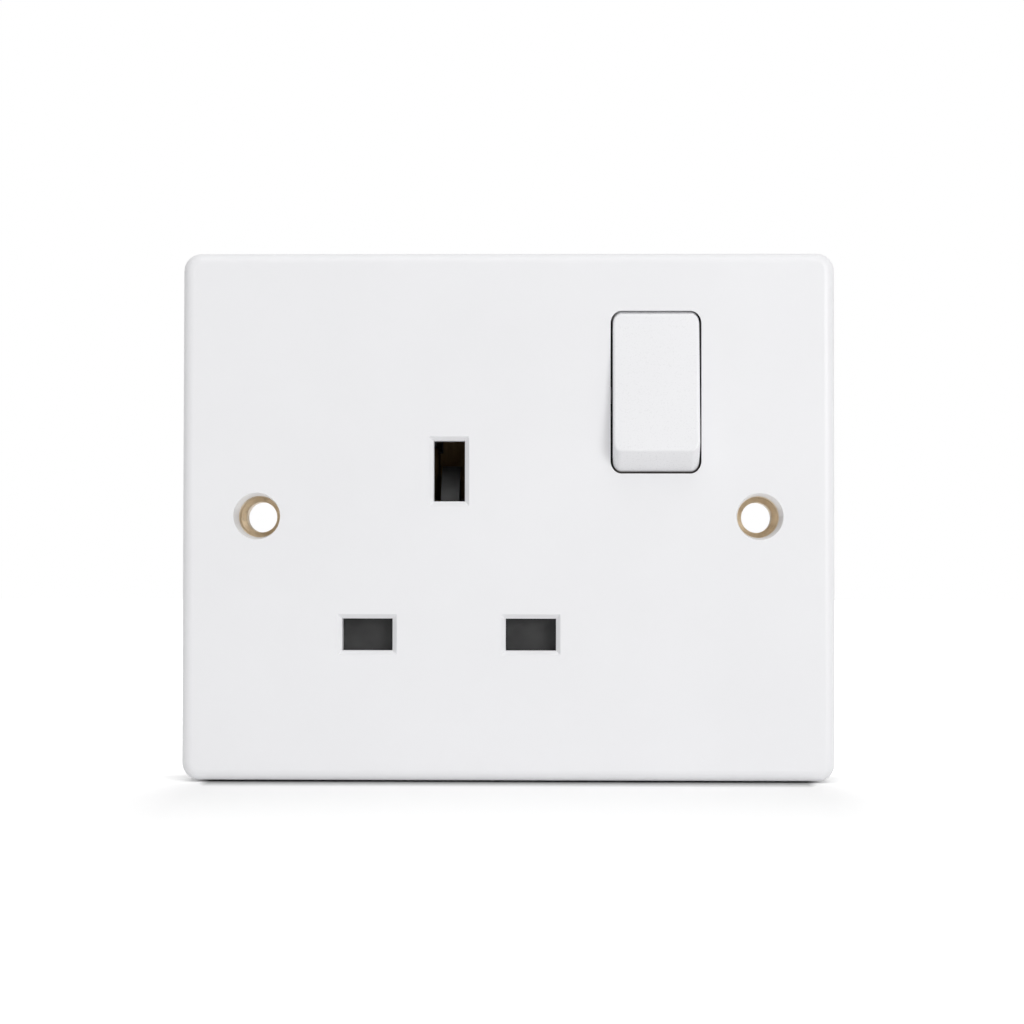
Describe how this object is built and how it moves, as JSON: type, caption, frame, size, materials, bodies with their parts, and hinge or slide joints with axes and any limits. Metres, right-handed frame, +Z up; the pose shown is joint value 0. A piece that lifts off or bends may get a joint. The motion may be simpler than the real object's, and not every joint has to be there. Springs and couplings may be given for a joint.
{
  "type": "switched socket",
  "caption": "White single wall socket with rectangular pin slots, a rocker switch, brass-bushed fixing holes and a black rear housing with screw terminals.",
  "frame": {"origin": "on the wall plane, midway between the two fixing holes", "axes": "+X to the right along the plate's length, +Y into the wall, +Z up"},
  "size_m": [0.0892, 0.029, 0.072],
  "materials": {
    "white_moulding": "smooth moulded, satin gloss",
    "black_moulding": "moulded, matt",
    "grey_shutter": "moulded, matt",
    "nylon": "natural, satin",
    "brass": "pressed and turned, slightly dulled",
    "bush_brass": "turned, dulled",
    "silver": "silver contact, satin",
    "steel": "zinc plated",
    "spring_steel": "drawn wire"
  },
  "bodies": {
    "socket": {"front_plate": "white_moulding", "rear_housing": "black_moulding", "fixed_contact": "brass", "fixed_contact_tip": "silver", "shutter_spring": "spring_steel", "line_contact": "brass", "neutral_contact": "brass", "earth_contact": "brass", "earth_strap": "brass", "line_terminal": "brass", "neutral_terminal": "brass", "earth_terminal": "brass", "left_fixing_bush": "bush_brass", "right_fixing_bush": "bush_brass", "housing_screws": "steel"},
    "rocker": {"rocker": "white_moulding", "plunger_spring": "spring_steel"},
    "plunger": {"plunger": "nylon"},
    "seesaw": {"seesaw_contact": "brass", "seesaw_contact_tip": "silver"},
    "shutter": {"shutter": "grey_shutter"},
    "line_terminal_screw": {"line_terminal_screw": "steel"},
    "neutral_terminal_screw": {"neutral_terminal_screw": "steel"},
    "earth_terminal_screw": {"earth_terminal_screw": "steel"}
  },
  "joints": [
    {"name": "rocker_tilt", "type": "hinge", "parent": "socket", "child": "rocker", "pos_m": [0.0201, -0.003, 0.0169], "axis": [1, 0, 0], "range_deg": [0, 17.2]},
    {"name": "plunger_slide", "type": "slide", "parent": "rocker", "child": "plunger", "axis": [0, -0.9888, 0.1495], "range_m": [0, 0.0005], "stiffness_N_per_m": 150, "springref_m": -0.002, "deforming": ["plunger_spring"]},
    {"name": "seesaw_tilt", "type": "hinge", "parent": "socket", "child": "seesaw", "pos_m": [0.0201, 0.00675, 0.0169], "axis": [1, 0, 0], "range_deg": [-17.2, 0]},
    {"name": "shutter_slide", "type": "slide", "parent": "socket", "child": "shutter", "axis": [0, 0, -1], "range_m": [0, 0.0054], "stiffness_N_per_m": 60, "springref_m": -0.004, "deforming": ["shutter_spring"]},
    {"name": "line_screw_travel", "type": "slide", "parent": "socket", "child": "line_terminal_screw", "axis": [0, -1, 0], "range_m": [0, 0.003]},
    {"name": "neutral_screw_travel", "type": "slide", "parent": "socket", "child": "neutral_terminal_screw", "axis": [0, -1, 0], "range_m": [0, 0.003]},
    {"name": "earth_screw_travel", "type": "slide", "parent": "socket", "child": "earth_terminal_screw", "axis": [0, -1, 0], "range_m": [0, 0.003]}
  ],
  "couplings": [
    {"joint": "seesaw_tilt", "follows": "rocker_tilt", "ratio": -1}
  ]
}
